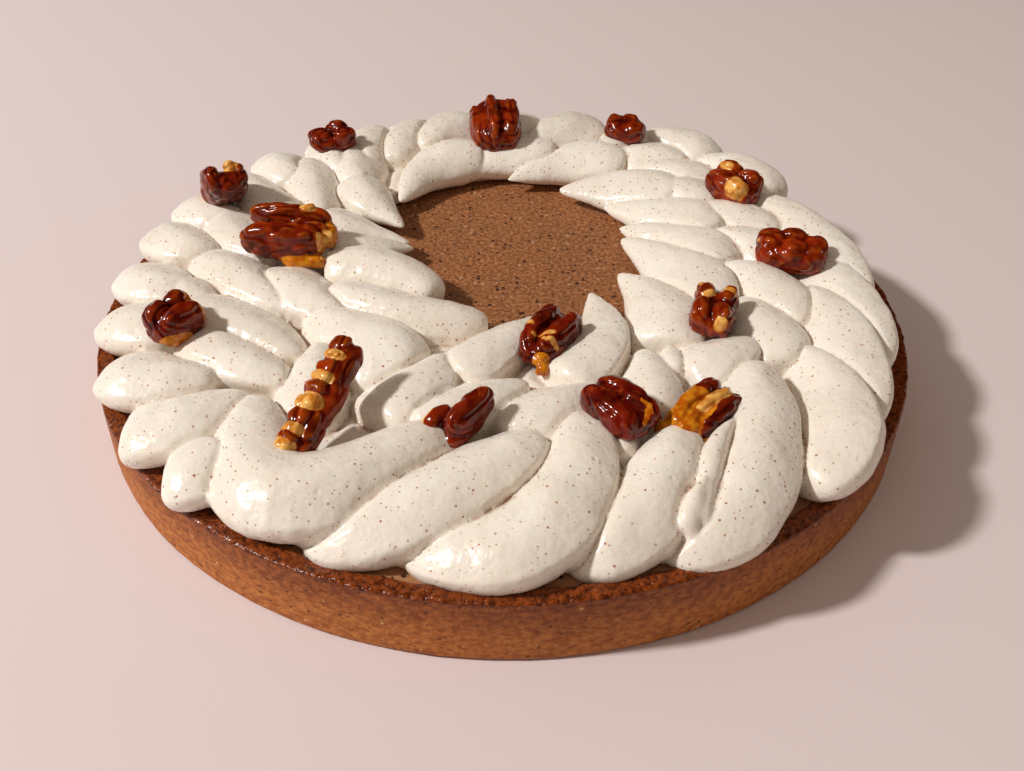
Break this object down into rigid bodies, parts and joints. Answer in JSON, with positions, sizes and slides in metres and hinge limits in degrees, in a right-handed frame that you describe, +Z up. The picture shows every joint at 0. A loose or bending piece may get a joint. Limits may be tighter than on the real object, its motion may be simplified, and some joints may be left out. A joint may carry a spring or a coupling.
{
  "type": "pecan tart",
  "caption": "Round pecan tart: straight-sided pastry case, level brown filling, overlapping piped cream strokes around an open centre, and candied pecan halves on top.",
  "frame": {"origin": "centre of the flat underside of the pastry case", "axes": "+Z up through the tart, -Y towards the front of the picture, +X to its right"},
  "size_m": [0.216, 0.216, 0.0417],
  "materials": {
    "crust": "baked golden brown, fine pores, dark rim",
    "filling": "satin brown with darker specks",
    "cream": "ivory, moist satin with fine brown specks",
    "pecan": "glossy caramel over red-brown nut"
  },
  "bodies": {
    "root": {"crust": "crust", "filling": "filling", "cream": "cream", "pecan_01": "pecan", "pecan_02": "pecan", "pecan_03": "pecan", "pecan_04": "pecan", "pecan_05": "pecan", "pecan_06": "pecan", "pecan_07": "pecan", "pecan_08": "pecan", "pecan_09": "pecan", "pecan_10": "pecan", "pecan_11": "pecan", "pecan_12": "pecan", "pecan_13": "pecan", "pecan_14": "pecan"}
  },
  "joints": []
}
